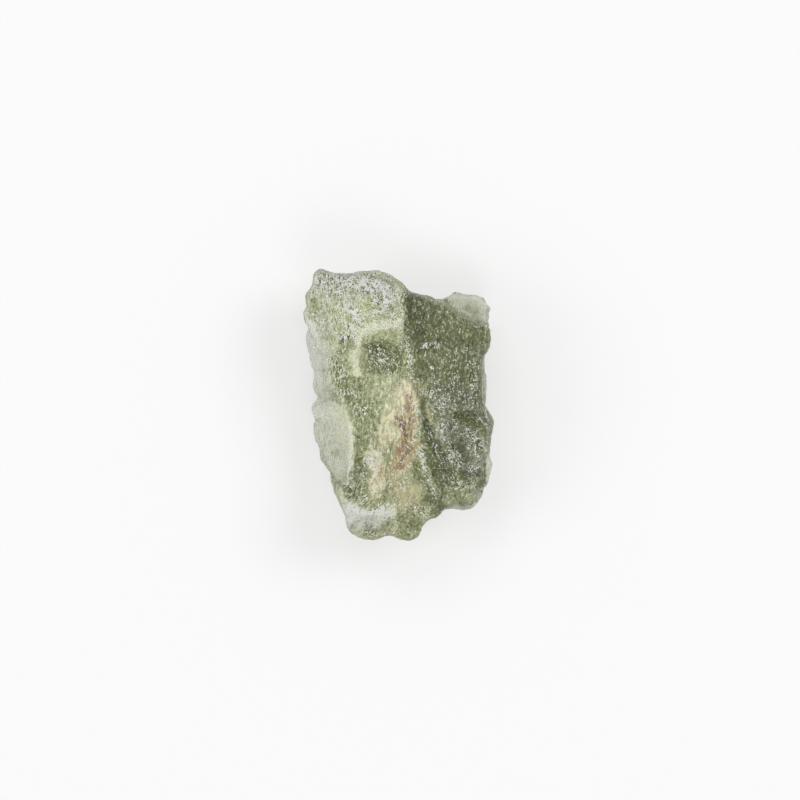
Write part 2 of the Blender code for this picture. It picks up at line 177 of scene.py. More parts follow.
# What the photograph shows on the upper face, laid on in this order over the first value, in its pixels. A
# mark has the points of a line with its half width, or the corners of an area with None; then the width of
# its soft edge, its value and how fully it covers. A tone is how light the glass is, from 0 for black to 1
# for white: the glass's own colour, with painted glow, painted highlights and painted shade laid into it
# at the marks so named below
FIRST_VALUE = {"tone": 0.57, "frost": 0.20, "smooth": 0.0, "clay": 0.0, "rust": 0.0, "grey": 0.15}
MARKS = {
    "tone": {
        # Painted glow: the left half is painted lighter and the right half darker, for the light that shines
        # through the thin left part of the glass
        "left half": (LEFT_HALF, None, 22, 0.62, 1.0),
        "right half": (RIGHT_HALF, None, 10, 0.39, 1.0),
        "crown": (CROWN, None, 12, 0.69, 1.0),
        # Painted shade in the hollow under the arch
        "hollow under the arch": (HOLLOW, None, 7, 0.38, 0.95),
        "centre": ([(352, 384), (362, 410)], 14, 16, 0.47, 0.8),
        "left of the valley": ([(376, 412), (368, 440), (364, 470)], 9, 12, 0.50, 0.8),
        "beside the facet": ([(358, 436), (361, 470), (352, 496)], 7, 8, 0.50, 0.9),
        "right of the step": ([(413, 300), (419, 325), (421, 342)], 10, 10, 0.32, 1.0),
        "upper right": ([(440, 312), (470, 332)], 14, 16, 0.39, 0.9),
        "right side": ([(430, 372), (478, 372)], 16, 16, 0.38, 0.9),
        "right bank": ([(424, 392), (440, 420)], 8, 10, 0.46, 0.8),
        "right lobe": ([(456, 432), (468, 470)], 20, 14, 0.46, 0.9),
        "lower right": ([(450, 498), (470, 492)], 9, 8, 0.57, 0.9),
        "pale corner": ([(310, 312), (324, 336), (334, 362)], 9, 12, 0.68, 0.9),
        "windows": ([(341, 298), (343, 326)], 5, 6, 0.67, 0.8),
        "patch": (PATCH, 7, 5, 0.69, 0.9),
        # Painted light on the arch's smooth wall, which faces the key light
        "arch": (ARCH, 5, 4, 0.81, 0.95),
        "left band": (LEFT_BAND, 5, 8, 0.74, 0.9),
        # Painted glow: the thin left ledge is painted near white, for the light shining through it
        "left ledge": ([(304, 330), (310, 350), (311, 400), (312, 424)], 10, 7, 1.00, 1.0),
        "left ledge's foot": ([(312, 432), (318, 456)], 6, 10, 0.80, 0.8),
        # Painted glow on the thin facet, for the light shining through it
        "facet": (FACET, None, 5, 0.84, 1.0),
        # Painted glow on the thin foot, for the light shining through it
        "foot": ([(350, 510), (355, 526)], 9, 6, 1.00, 1.0),
        "foot's other side": ([(404, 520), (418, 532)], 12, 12, 0.50, 0.8),
        "knob": (KNOB, None, 5, 0.80, 1.0),
        "upper bevel": (UPPER_BEVEL, 4, 4, 0.60, 0.9),
        # Painted glow on the thin right ledges, for the light shining through them
        "right ledge": (RIGHT_LEDGE, 3, 3, 0.72, 0.9),
        "loop ledge": ([(489, 455), (492, 468), (487, 492)], 3, 3, 0.78, 0.9),
        "lower ledge": ([(450, 511), (474, 510), (484, 498)], 4, 4, 0.80, 0.9),
        # Painted shade in the groove
        "groove": ([(411, 383), (421, 400), (424, 420), (432, 440), (444, 456)], 2.5, 3, 0.28, 0.9),
        # Painted shade in the three pits
        "pit": ([(456, 416), (464, 414), (474, 418)], 4, 5, 0.32, 0.9),
        "second pit": ([(454, 446), (462, 446)], 4, 5, 0.31, 0.9),
        "third pit": ([(466, 474), (477, 474)], 4, 6, 0.32, 0.8),
        "valley's flank": ([(442, 462), (450, 472)], 4, 6, 0.38, 0.8),
        # Painted shade under the lobe and at the groove's foot
        "under the lobe": ([(426, 500), (440, 496)], 5, 6, 0.40, 0.8),
        "groove's foot": ([(414, 462), (420, 478)], 3, 5, 0.42, 0.8),
        "dark flakes": ([(359, 288), (368, 290)], 3, 4, 0.45, 0.8),
        "more dark flakes": ([(377, 299), (391, 307)], 3, 4, 0.48, 0.8),
        "dark ring": ([(311, 300), (314, 306)], 3, 4, 0.50, 0.8),
        "dark under the frost": ([(343, 343), (353, 347)], 4, 5, 0.50, 0.8),
        "dark in the middle": ([(355, 381), (368, 383)], 4, 6, 0.46, 0.8),
        "facet's dark edge": ([(340, 487), (352, 489)], 4, 5, 0.40, 0.9),
        "right under the crown": ([(404, 300), (410, 330)], 3, 4, 0.41, 0.8),
        # Painted highlights along the rims
        "upper rim": (UPPER_RIM, 1.0, 2, 0.74, 0.9),
        "knob's rim": ([(447, 295), (468, 287), (488, 295), (493, 306), (491, 320)], 1.0, 2, 0.80, 0.9),
        "facet's rim": ([(336, 402), (349, 418), (354, 442), (352, 464), (344, 482)], 1.0, 2, 0.82, 0.9),
        "lump's shade": ([(388, 458), (391, 480), (384, 496)], 2, 4, 0.46, 0.8),
        # Painted shade in the crease
        "crease": ([(356, 334), (346, 346), (332, 364)], 1.2, 3, 0.44, 0.8),
        # Painted highlight along the edge of the step
        "pale line by the step": ([(402, 298), (403, 334)], 0.8, 2, 0.76, 0.9),
        "peppered": ([(352, 285), (378, 288), (392, 306), (372, 302)], 3, 7, 0.52, 0.6),
        "rim before the knob": (RIM_BEFORE_KNOB, 2, 3, 0.56, 0.9),
        "facet's white heart": ([(336, 428), (343, 440)], 4, 6, 0.83, 0.9),
        "facet's olive spot": ([(334, 452), (338, 458)], 3, 4, 0.68, 0.8),
        "facet's white spot": ([(331, 463), (337, 470)], 3, 4, 0.88, 0.9),
        # Painted highlight along the facet's left rim
        "facet's left rim": ([(312, 424), (318, 440), (328, 462), (338, 480)], 2, 3, 0.82, 0.9),
        # Painted glow on a thin edge
        "thin edge": ([(338, 486), (346, 506)], 2, 3, 0.78, 0.9),
        "foot's frost": ([(366, 515), (378, 517), (390, 511)], 7, 8, 0.92, 1.0),
        "foot's rim": ([(352, 530), (366, 536), (384, 538)], 4, 5, 0.54, 0.8),
        # Painted shade in the lobe's scoop and by the rib
        "lobe's dark arc": ([(452, 440), (458, 452), (468, 460)], 2.5, 4, 0.33, 0.8),
        "dark by the rib": ([(432, 448), (440, 464), (448, 478)], 2.5, 4, 0.33, 0.8),
        "lobe's pale side": ([(482, 430), (486, 446)], 3, 5, 0.50, 0.8),
        # Painted glow on the thin crescent of a ledge
        "crescent": ([(486, 457), (489, 468)], 1.6, 2, 0.97, 1.0),
        "knob's shade": ([(466, 307), (482, 314)], 3, 5, 0.60, 0.8),
        # Painted highlights along the knob's band and the edge before it
        "knob's light band": ([(448, 303), (464, 311), (486, 322)], 1.2, 2, 0.82, 0.9),
        "edge before the knob": ([(436, 297), (452, 305), (468, 315), (486, 324)], 0.8, 2, 0.70, 0.9),
        "left of the arch": ([(338, 368), (343, 392)], 7, 8, 0.52, 0.9),
        # Painted shade in the heart of the hollow
        "hollow's dark heart": ([(374, 350), (388, 352)], 5, 7, 0.40, 0.8),
        # Painted highlight along the ledges
        "line by the ledges": ([(484, 436), (485, 452), (484, 472)], 0.8, 2, 0.72, 0.9),
        "under the wash": ([(404, 446), (404, 466)], 7, 10, 0.38, 0.9),
        # Painted highlight on the rib
        "rib's light": ([(421, 452), (426, 474), (438, 494)], 3, 6, 0.54, 0.8),
        "golden floor": ([(402, 490), (414, 506)], 9, 12, 0.50, 0.8),
    },
    # Frost: where the glass is etched to a frost, which also sets how dense its painted white glints are and
    # how deep the painted dark gaps between them
    "frost": {
        "right half's veil": ([(406, 300), (486, 330), (482, 410), (420, 390)], None, 12, 0.08, 1.0),
        "crown's veil": ([(305, 268), (398, 272), (400, 330), (355, 345), (310, 320)], None, 10, 0.50, 1.0),
        "upper frost": ([(314, 284), (345, 286), (368, 283), (378, 290)], 8, 8, 1.00, 1.0),
        "crown": ([(380, 292), (392, 302)], 6, 6, 0.60, 1.0),
        "middle frost": ([(347, 302), (354, 318), (348, 337)], 6, 5, 1.45, 1.0),
        "frost by the patch": ([(378, 308), (390, 316)], 5, 6, 0.75, 1.0),
        "left corner": ([(312, 290), (318, 320)], 6, 6, 0.40, 1.0),
        "step": ([(403, 292), (404, 340), (412, 385)], 4, 6, 0.60, 1.0),
        "cluster": ([(425, 345), (436, 346)], 4, 5, 0.85, 1.0),
        "small cluster": ([(431, 367), (434, 375)], 3, 4, 0.85, 1.0),
        "hollow": ([(374, 352), (392, 366)], 9, 8, 0.55, 1.0),
        "left": ([(336, 352), (338, 372), (342, 395)], 5, 6, 0.50, 1.0),
        "centre": ([(352, 392), (360, 412)], 6, 6, 0.45, 1.0),
        "lobe's top": ([(434, 388), (444, 408)], 7, 6, 0.58, 1.0),
        "rib": ([(421, 450), (426, 474), (440, 498)], 2, 4, 0.75, 1.0),
        "foot": ([(350, 514), (366, 518), (386, 514)], 8, 7, 1.30, 1.0),
        "lowest": ([(360, 532), (392, 534)], 3, 4, 0.60, 1.0),
        "valley's foot": ([(402, 508), (424, 512)], 5, 5, 0.50, 1.0),
        "streaks": ([(452, 355), (456, 398)], 5, 6, 0.50, 1.0),
        "more streaks": ([(468, 350), (474, 392)], 5, 6, 0.45, 1.0),
        "lump": ([(374, 460), (378, 490)], 7, 5, 0.75, 1.0),
        "upper right": ([(420, 308), (440, 322)], 8, 10, 0.10, 1.0),
        "clay": ([(404, 392), (408, 420), (404, 450), (396, 478)], 13, 8, 0.50, 1.0),
        "lump's left edge": ([(366, 456), (362, 470), (366, 486)], 2, 3, 0.80, 1.0),
        "peppered": ([(348, 284), (372, 284), (388, 298), (384, 310)], 6, 6, 1.40, 1.0),
        "beside the middle frost": ([(336, 310), (342, 330)], 5, 8, 0.60, 1.0),
        "rim before the knob":
            ([(408, 292), (425, 297), (445, 304), (466, 316), (488, 326)], 2.5, 4, 0.70, 1.0),
        "peppered right": ([(416, 300), (450, 316), (482, 340)], 12, 14, 0.10, 1.0),
        "right grey": (RIGHT_GREY, 7, 10, 0.42, 1.0),
        "between": ([(352, 488), (360, 500)], 7, 8, 0.50, 1.0),
        "lobe's arc": ([(444, 428), (456, 424), (470, 431), (480, 442)], 4, 5, 0.85, 1.0),
        "lobe's middle": ([(444, 438), (450, 454), (462, 466), (474, 470)], 4, 6, 0.78, 1.0),
        "lobe's outer arc": ([(474, 446), (481, 458), (478, 472)], 3, 5, 0.70, 1.0),
        "lobe's foot": ([(444, 470), (456, 484), (470, 486)], 6, 8, 0.55, 1.0),
        "rib's side": ([(428, 430), (438, 452), (450, 474)], 3, 5, 0.70, 1.0),
        "facet's top": ([(320, 400), (336, 412)], 7, 8, 0.45, 1.0),
        "bevel's flecks": ([(314, 272), (345, 277), (372, 276), (390, 285)], 3, 4, 1.15, 1.0),
    },
    "smooth": {
        "upper bevel": (UPPER_BEVEL, 4, 4, 0.15, 1.0),
        "patch": (PATCH, 5, 5, 0.65, 1.0),
        "windows": ([(341, 300), (336, 322)], 4, 5, 0.40, 1.0),
        "arch": (ARCH, 5, 4, 0.45, 1.0),
        "left ledge": ([(307, 330), (313, 350), (313, 400), (316, 436)], 9, 5, 0.80, 1.0),
        "left band": (LEFT_BAND, 5, 8, 0.50, 1.0),
        "facet": (FACET, None, 5, 0.45, 1.0),
        "knob": (KNOB, None, 5, 0.75, 1.0),
        "right ledge": (RIGHT_LEDGE, 3, 3, 0.80, 1.0),
        "lower ledge": ([(450, 510), (474, 509)], 3, 3, 0.80, 1.0),
        "pit": (PIT, 4, 4, 0.60, 1.0),
    },
    "clay": {
        "valley floor": ([(408, 390), (410, 420), (408, 438)], 9, 11, 0.80, 1.0),
        "beige side": ([(404, 390), (395, 404), (388, 422), (384, 444)], 8, 7, 1.00, 1.0),
        "lump": ([(374, 458), (378, 476), (377, 490)], 8, 4, 1.00, 1.0),
        "right bank": ([(426, 404), (430, 416), (438, 432)], 1.5, 3, 0.40, 1.0),
        "pale patch": ([(396, 432), (397, 441)], 2.5, 3, 1.00, 1.0),
        "valley's lower floor": ([(404, 458), (400, 482), (402, 500)], 11, 14, 0.32, 1.0),
        "spur": ([(370, 444), (374, 458)], 1.5, 3, 0.90, 1.0),
        "golden floor": ([(398, 488), (414, 496)], 9, 10, 0.46, 1.0),
    },
    "rust": {
        "flow": ([(409, 394), (411, 406), (411, 418), (406, 430), (403, 446)], 5, 9, 0.50, 1.0),
        "low wash": ([(406, 444), (404, 456), (400, 466)], 9, 14, 0.54, 1.0),
        "blotch": ([(396, 421), (404, 424)], 2.5, 3, 0.66, 1.0),
        "core": ([(401, 419), (403, 437)], 3.2, 4, 1.00, 1.0),
        "orange patch": ([(399, 430), (401, 439)], 2.5, 3, 0.50, 1.0),
        "orange line": ([(408, 394), (411, 406), (414, 420)], 1.4, 3, 0.52, 1.0),
        "right tan": ([(412, 440), (421, 448)], 2.5, 4, 0.44, 1.0),
        "lump's edge": ([(388, 462), (390, 482)], 2.5, 4, 0.30, 1.0),
        "golden dots": ([(399, 490), (404, 496), (418, 488)], 5, 8, 0.20, 1.0),
        "lump's blush": ([(379, 466), (382, 488)], 4, 6, 0.30, 1.0),
        "golden foot": ([(366, 530), (386, 532), (404, 526)], 6, 8, 0.15, 1.0),
        "golden end": ([(404, 506), (424, 512)], 5, 8, 0.14, 1.0),
        "orange flecks": ([(407, 404), (409, 416), (408, 428)], 3, 4, 0.34, 0.8),
        "mauve side": ([(407, 410), (413, 420), (409, 432)], 4, 5, 0.60, 0.9),
        "golden flecks": ([(397, 484), (402, 498)], 2, 4, 0.30, 1.0),
        "more golden flecks": ([(411, 486), (416, 497)], 2, 4, 0.27, 1.0),
    },
    # Grey: how far the etched skin greys the glass, partly its own dull skin and partly painted sheen of its
    # tiny reflections; 0 leaves the clean green glass
    "grey": {
        "upper skin": ([(310, 284), (345, 288), (385, 292)], 12, 10, 0.65, 1.0),
        "bevel": (UPPER_BEVEL, 5, 5, 0.80, 1.0),
        "left": ([(313, 330), (316, 440), (336, 470)], 18, 10, 0.75, 1.0),
        "foot": ([(345, 510), (375, 520)], 12, 10, 0.60, 1.0),
        "knob": (KNOB, None, 6, 0.75, 1.0),
        "right edge": ([(486, 350), (484, 400)], 8, 10, 0.50, 1.0),
        "lobe": ([(440, 395), (465, 436)], 12, 12, 0.75, 1.0),
        "green windows": ([(366, 300), (366, 322), (340, 318), (398, 330)], 7, 7, 0.0, 1.0),
        "green arch": (ARCH, 6, 5, 0.0, 1.0),
        "green centre": ([(392, 352), (410, 372)], 10, 10, 0.0, 1.0),
        "green by the step": ([(416, 305), (420, 345), (440, 320)], 10, 10, 0.10, 1.0),
        "green pits": (PIT, 6, 6, 0.0, 1.0),
        "rim before the knob": (RIM_BEFORE_KNOB, 3, 4, 0.80, 1.0),
        "right grey": (RIGHT_GREY, 10, 10, 0.65, 1.0),
        "lobe's middle": ([(446, 430), (462, 444), (476, 466)], 14, 12, 0.75, 1.0),
        "right ledges": (RIGHT_LEDGES, 5, 5, 0.85, 1.0),
        "golden floor": ([(400, 488), (412, 506)], 10, 12, 0.0, 1.0),
    },
}

# How the marks' edges wander: how far and over what size, in mm, and the seed that keeps every run the same
WANDERS = ((0.22, 0.60), (0.14, 0.20))
WANDER_SEED = 7

# The marks end where a normal's upward part falls to here, and are full this much above it. The sides beyond,
# which the photograph doesn't show, have values of their own and no clay or rust
MARKED_FACING = -0.1
MARKED_FADE = 0.4
SIDES = {"tone": 0.60, "frost": 0.10, "smooth": 0.55, "grey": 0.10}

# The underside begins where the upward part falls to here, and has its full value this much below it
UNDER_FACING = -0.3
UNDER_FADE = 0.5
UNDERSIDE = {"tone": 0.66}

# The colour of the glass for each tone, clean and greyed by its etched skin, the grey standing in also for
# the painted sheen of the skin's tiny reflections; the painted white of the glints; and what lies on it:
# clay, and rust from a thin wash to a thick crust
TONES = [
    (0.20, (0.018, 0.026, 0.003, 1)),
    (0.40, (0.110, 0.130, 0.030, 1)),
    (0.60, (0.400, 0.430, 0.205, 1)),
    (0.80, (0.760, 0.785, 0.560, 1)),
    (1.00, (0.970, 0.970, 0.900, 1)),
]
GREY_TONES = [
    (0.20, (0.028, 0.032, 0.020, 1)),
    (0.40, (0.120, 0.130, 0.085, 1)),
    (0.60, (0.400, 0.415, 0.320, 1)),
    (0.80, (0.760, 0.770, 0.680, 1)),
    (1.00, (0.970, 0.970, 0.950, 1)),
]
GLINT_WHITE = (0.96, 0.965, 0.97, 1)
CLAY = (0.93, 0.87, 0.60, 1)
DARK_CLAY = (0.56, 0.52, 0.32, 1)
RUSTS = [
    (0.20, (0.700, 0.570, 0.310, 1)),
    (0.45, (0.455, 0.310, 0.150, 1)),
    (0.70, (0.240, 0.150, 0.085, 1)),
    (1.00, (0.100, 0.050, 0.022, 1)),
]

# The glass within: what its body lets through, how strongly it absorbs, how clear it is and how it bends
# light
INSIDE = (0.62, 0.64, 0.25, 1)
INSIDE_DENSITY = 60.0
CLARITY = 0.60
GLASS_IOR = 1.49

# Painted light and shade of the relief: how much lighter a crest and a ridge are, and a hollow as much darker
CREST_LIGHT = 0.06
RIDGE_LIGHT = 0.07

# Smooth steps, as a value's low and high limit and what it gives at each: how patches break up the frost,
# how frost sharpens the fine marks, how silt thickens the clay and thins the rust, and how fine marks
# roughen the glass
FROST_STEP = (-0.18, 0.16, 0.15, 1.40)
ETCHED_STEP = (0.05, 0.8, 0.36, 2.4)
CLAY_STEP = (-0.16, 0.04, 0.74, 1.0)
RUST_STEP = (-0.14, 0.12, 1.35, 0.65)
ROUGHNESS_STEP = (-0.2, 0.2, 0.29, 0.42)

# The limits between which the painted glints, light clay and rust set in
SPARKLE_LIMITS = (0.20, 0.36)
SILT_LIMITS = (-0.14, 0.14)
RUST_LIMITS = (0.10, 0.42)

# What frost and the crests' painted light and shade add to the level at which a fine mark gets a painted
# glint
SPARKLE_FROST = 0.28
SPARKLE_RELIEF = 0.6

# The share of painted glints and of fine tone that roughness brings, and the share that smooth glass keeps
SPARKLE_SHARES = (0.85, 0.1)
FINE_SHARES = (0.9, 0.1)

# How deep the painted dark side of a fine mark is against its painted light side, and what mottle and patches
# do to the tone
DARK_SIDE = 0.6
MOTTLE_TONE = 0.17
PATCH_TONE = 0.16

# What mottle and fine marks add to the clay's streaks
SILT_MOTTLE = 0.4
SILT_FINE = 0.6

# How far smoothness takes the roughness down, and the height of the bump from the fine marks, in metres
SMOOTH_GLOSS = 0.20
BUMP_HEIGHT = 0.08 * MM

# The studio: the surround's strength, and each softbox's place and side in metres and its watts
WORLD_STRENGTH = 0.70
SOFTBOXES = {
    "key": ((0.24, 0.12, 0.38), 0.20, 1.15),
    "window": ((-0.12, 0.26, 0.42), 0.20, 0.60),
    "low fill": ((0.05, -0.26, 0.42), 0.18, 0.60),
    "left fill": ((-0.33, -0.05, 0.29), 0.20, 0.72),
}

# The floor: its colour, its side in metres, its finish and its own faint glow, as on a light table
FLOOR = (0.25, 0.25, 0.25, 1)
FLOOR_SIDE = 3.0
FLOOR_ROUGHNESS = 0.8
FLOOR_SHEEN = 0.2
FLOOR_GLOW = 0.52
WHITE = (1, 1, 1, 1)


def picture_to_stone(points):
    """Pixels of the photograph as x and y on the stone, in mm."""
    middle_x, middle_y = MIDDLE_PIXEL
    return [((px - middle_x) * MM_PER_PIXEL, (middle_y - py) * MM_PER_PIXEL) for px, py in points]


def ease(value):
    """A smooth step from 0 to 1 as the value goes from 0 to 1."""
    value = np.clip(value, 0.0, 1.0)
    return value * value * (3.0 - 2.0 * value)


def line_distance(x, y, points):
    """How far each place is from a line through the points."""
    best = np.full(x.shape, np.inf)
    for (ax, ay), (bx, by) in zip(points, points[1:]):
        run = (bx - ax) ** 2 + (by - ay) ** 2
        part = np.clip(((x - ax) * (bx - ax) + (y - ay) * (by - ay)) / run, 0.0, 1.0)
        best = np.minimum(best, np.hypot(x - ax - part * (bx - ax), y - ay - part * (by - ay)))
    return best


def area_depth(x, y, corners):
    """How deep each place lies inside an area, negative outside it."""
    ring = corners + corners[:1]
    inside = np.zeros(x.shape, dtype=bool)
    for (ax, ay), (bx, by) in zip(ring, ring[1:]):
        if ay != by:
            inside ^= ((ay > y) != (by > y)) & (x < ax + (y - ay) * (bx - ax) / (by - ay))
    distance = line_distance(x, y, ring)
    return np.where(inside, distance, -distance)


def point_values(mesh, name):
    """The place or the normal of each point."""
    values = np.empty(len(mesh.vertices) * 3)
    mesh.vertices.foreach_get(name, values)
    return values.reshape(-1, 3)


def store(mesh, name, values):
    """Keep one value for each point in an attribute."""
    attribute = mesh.attributes.new(name, "FLOAT", "POINT")
    attribute.data.foreach_set("value", values)


def ease_outline(mesh):
    """Move the points near a few places of the outline to where the photograph shows it."""
    places = point_values(mesh, "co")
    for pixel, (right, down), reach in OUTLINE_MOVES.values():
        (x, y), = picture_to_stone([pixel])
        apart = np.hypot(places[:, 0] - x, places[:, 1] - y)
        share = ease(1.0 - apart / (reach * MM_PER_PIXEL)) * MM_PER_PIXEL
        places[:, 0] += right * share
        places[:, 1] -= down * share
    mesh.vertices.foreach_set("co", places.ravel())
    mesh.update()


def wandered(mesh):
    """The x and y of each point, moved a little so that no mark has a drawn edge."""
    places = point_values(mesh, "co")
    x, y = places[:, :2].T
    noise.seed_set(WANDER_SEED)
    for reach, size in WANDERS:
        wander = np.array([noise.noise_vector(Vector(place) / size)[:2] for place in places])
        x, y = np.stack([x, y]) + reach * wander.T
    return x, y


def paint_marks(mesh, x, y):
    """Lay the photograph's marks on the points of the upper side, as one attribute for each kind."""
    upward = point_values(mesh, "normal")[:, 2]
    facing = ease((upward - MARKED_FACING) / MARKED_FADE)
    for kind, marks in MARKS.items():
        total = np.full(len(x), FIRST_VALUE[kind])
        for points, half_width, soft, value, cover in marks.values():
            outline = picture_to_stone(points)
            if half_width is None:
                depth = area_depth(x, y, outline)
            else:
                depth = half_width * MM_PER_PIXEL - line_distance(x, y, outline)
            total += (value - total) * cover * facing * ease(depth / (soft * MM_PER_PIXEL) + 0.5)
        total += (SIDES.get(kind, 0.0) - total) * (1.0 - facing)
        if kind in UNDERSIDE:
            total += (UNDERSIDE[kind] - total) * ease(-(upward - UNDER_FACING) / UNDER_FADE)
        store(mesh, kind, total)


def paint_ways(mesh, x, y):
    """Store how the strokes run at each point, as a share of each of the four ways."""
    spots = np.array(picture_to_stone([(px, py) for px, py, _ in FLOWS]))
    double = np.radians([2.0 * angle for _, _, angle in FLOWS])
    apart = np.hypot(x[:, None] - spots[:, 0], y[:, None] - spots[:, 1]) / (FLOW_REACH * MM_PER_PIXEL)
    share = np.exp(-0.5 * apart ** 2) + FLOW_LEAST
    double = np.arctan2(share @ np.sin(double), share @ np.cos(double))
    ways = np.maximum(0.0, np.cos(double[:, None] - 2.0 * np.radians(WAYS))) ** 2
    ways /= ways.sum(axis=1, keepdims=True)
    attribute = mesh.attributes.new("ways", "FLOAT_COLOR", "POINT")
    attribute.data.foreach_set("color", ways.ravel())


def mark_crests(mesh):
    """Store how far each point stands out of the form around it, from -1 in a hollow to 1 on a crest."""
    count = len(mesh.vertices)
    places = point_values(mesh, "co")
    normals = point_values(mesh, "normal")
    ends = np.empty(len(mesh.edges) * 2, dtype=np.int64)
    mesh.edges.foreach_get("vertices", ends)
    first, second = ends.reshape(-1, 2).T
    number = np.bincount(ends, minlength=count)
    for name, (rounds, height) in CRESTS.items():
        even = places.copy()
        for _ in range(rounds):
            for axis in range(3):
                column = even[:, axis]
                total = np.bincount(first, column[second], count) + np.bincount(second, column[first], count)
                even[:, axis] = 0.5 * column + 0.5 * total / number
        standing = ((places - even) * normals).sum(axis=1)
        store(mesh, name, np.clip(standing / height, -1.0, 1.0))


def joined_form(source):
    """A copy of a node's mesh with its loose triangles joined, in mm."""
    form = bmesh.new()
    form.from_mesh(source)
    bmesh.ops.remove_doubles(form, verts=form.verts[:], dist=JOIN_DISTANCE)
    bmesh.ops.transform(form, matrix=Matrix.Scale(1.0 / MM, 4), verts=form.verts[:])
    mesh = bpy.data.meshes.new("stone form")
    form.to_mesh(mesh)
    form.free()
    return mesh


def settle(piece):
    """Make what the modifiers give the piece's own mesh."""
    before = piece.data
    view = bpy.context.evaluated_depsgraph_get()
    piece.data = bpy.data.meshes.new_from_object(piece.evaluated_get(view))
    piece.modifiers.clear()
    bpy.data.meshes.remove(before)


class Tree:
    """Short ways to add and join the nodes of one node tree."""

    def __init__(self, tree):
        self.tree = tree

    def add(self, kind, settings=(), **sockets):
        """A node with its settings, and with values or links in the inputs named; a space is written _."""
        node = self.tree.nodes.new(kind)
        for name, value in dict(settings).items():
            setattr(node, name, value)
        for name, value in sockets.items():
            self.feed(node.inputs[name.replace("_", " ")], value)
        return node

    def feed(self, socket, value):
        """Link an output to an input, or set the input's value."""
        if isinstance(value, bpy.types.NodeSocket):
            self.tree.links.new(value, socket)
        else:
            socket.default_value = value

    def math(self, operation, *values):
        """The result of a Math node."""
        node = self.add("ShaderNodeMath", {"operation": operation})
        for socket, value in zip(node.inputs, values):
            self.feed(socket, value)
        return node.outputs[0]

    def scaled(self, value, share):
        """A value times a share."""
        return self.math("MULTIPLY", value, share)

    def total(self, first, *others):
        """The sum of some values."""
        for other in others:
            first = self.math("ADD", first, other)
        return first

    def centred(self, value, middle=NOISE_MIDDLE):
        """A value about nought, less its middle."""
        return self.math("SUBTRACT", value, middle)

    def kept(self, value, shares):
        """The first share of a value, and the second share whatever the value is."""
        return self.total(self.scaled(value, shares[0]), shares[1])

    def vector(self, operation, *values):
        """The result of a Vector Math node."""
        node = self.add("ShaderNodeVectorMath", {"operation": operation})
        for index, value in enumerate(values):
            self.feed(node.inputs[3 if operation == "SCALE" and index else index], value)
        return node.outputs["Vector"]

    def step(self, value, low, high, to_low=0.0, to_high=1.0):
        """A smooth step of a value between two limits."""
        node = self.add("ShaderNodeMapRange", {"interpolation_type": "SMOOTHSTEP"}, Value=value,
                        From_Min=low, From_Max=high, To_Min=to_low, To_Max=to_high)
        return node.outputs["Result"]

    def mix(self, share, first, second):
        """A mix of two colours."""
        node = self.add("ShaderNodeMix", {"data_type": "RGBA"})
        for index, value in ((0, share), (6, first), (7, second)):
            self.feed(node.inputs[index], value)
        return node.outputs[2]


def named_input(tree, name, kind, value=None):
    """Give a node group an input, with its default."""
    socket = tree.interface.new_socket(name, in_out="INPUT", socket_type=kind)
    if value is not None:
        socket.default_value = value


def along_the_ways(t, place, ways, last, pattern):
    """A pattern laid along each of the four ways, and mixed as the ways' shares say.

    A shader's Separate Color gives three shares, so it is handed the last one apart.
    """
    kind = "FunctionNodeSeparateColor" if last is None else "ShaderNodeSeparateColor"
    parts = t.add(kind, Color=ways).outputs
    shares = [parts[0], parts[1], parts[2], parts[3] if last is None else last]
    total = None
    for way, share in zip(WAYS, shares):
        turned = t.add("ShaderNodeVectorRotate", {"rotation_type": "Z_AXIS"}, Vector=place,
                       Angle=-math.radians(way)).outputs["Vector"]
        part = t.math("MULTIPLY", pattern(turned), share)
        total = part if total is None else t.math("ADD", total, part)
    return total


